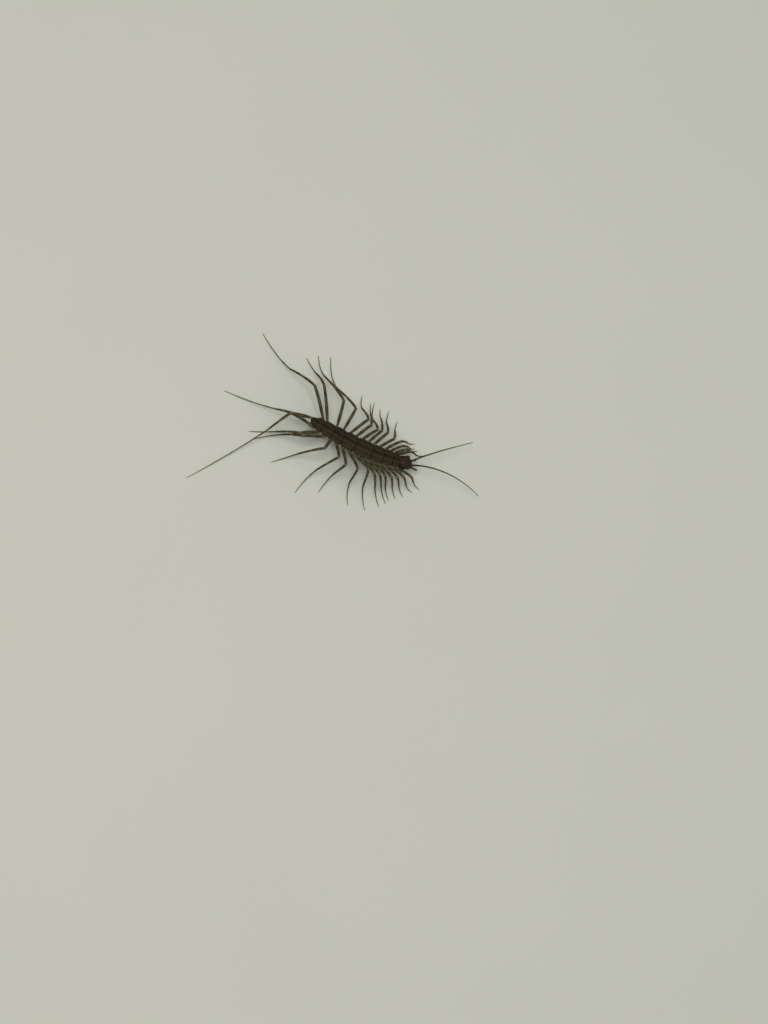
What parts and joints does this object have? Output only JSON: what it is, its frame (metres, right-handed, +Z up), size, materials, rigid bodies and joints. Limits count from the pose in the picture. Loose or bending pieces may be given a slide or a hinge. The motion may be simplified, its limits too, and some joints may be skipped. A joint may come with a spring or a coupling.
{
  "type": "house centipede",
  "caption": "House centipede as a still, life-size museum model, standing on the floor on long banded legs, with domed head, long feelers and plated back.",
  "frame": {"origin": "middle of the footprint of the whole animal, legs and feelers included, at floor level", "axes": "+X from tail to head, +Y to the animal's left side, +Z up from the floor"},
  "size_m": [0.0714, 0.0458, 0.0066],
  "materials": {
    "back_shell": "dark brown back plates with a soft sheen",
    "underside": "lighter brown, matt skin of the flanks and belly",
    "head": "reddish brown with a soft sheen",
    "eye": "glossy black, faceted",
    "leg": "olive brown with dark bands, finely bristled",
    "feeler": "ringed, pale olive brown",
    "mouthpart": "yellowish brown with dark tips"
  },
  "bodies": {
    "root": {"head": "head", "eye_left": "eye", "eye_right": "eye", "trunk": "underside", "back_plate_1": "back_shell", "back_plate_2": "back_shell", "back_plate_3": "back_shell", "back_plate_4": "back_shell", "back_plate_5": "back_shell", "back_plate_6": "back_shell", "back_plate_7": "back_shell", "back_plate_8": "back_shell", "tail": "back_shell", "leg_left_01": "leg", "leg_left_02": "leg", "leg_left_03": "leg", "leg_left_04": "leg", "leg_left_05": "leg", "leg_left_06": "leg", "leg_left_07": "leg", "leg_left_08": "leg", "leg_left_09": "leg", "leg_left_10": "leg", "leg_left_11": "leg", "leg_left_12": "leg", "leg_left_13": "leg", "leg_left_14": "leg", "leg_left_15": "leg", "leg_right_01": "leg", "leg_right_02": "leg", "leg_right_03": "leg", "leg_right_04": "leg", "leg_right_05": "leg", "leg_right_06": "leg", "leg_right_07": "leg", "leg_right_08": "leg", "leg_right_09": "leg", "leg_right_10": "leg", "leg_right_11": "leg", "leg_right_12": "leg", "leg_right_13": "leg", "leg_right_14": "leg", "leg_right_15": "leg", "antenna_left": "feeler", "antenna_right": "feeler", "palp_left": "mouthpart", "palp_right": "mouthpart", "poison_claw_left": "mouthpart", "poison_claw_right": "mouthpart"}
  },
  "joints": []
}
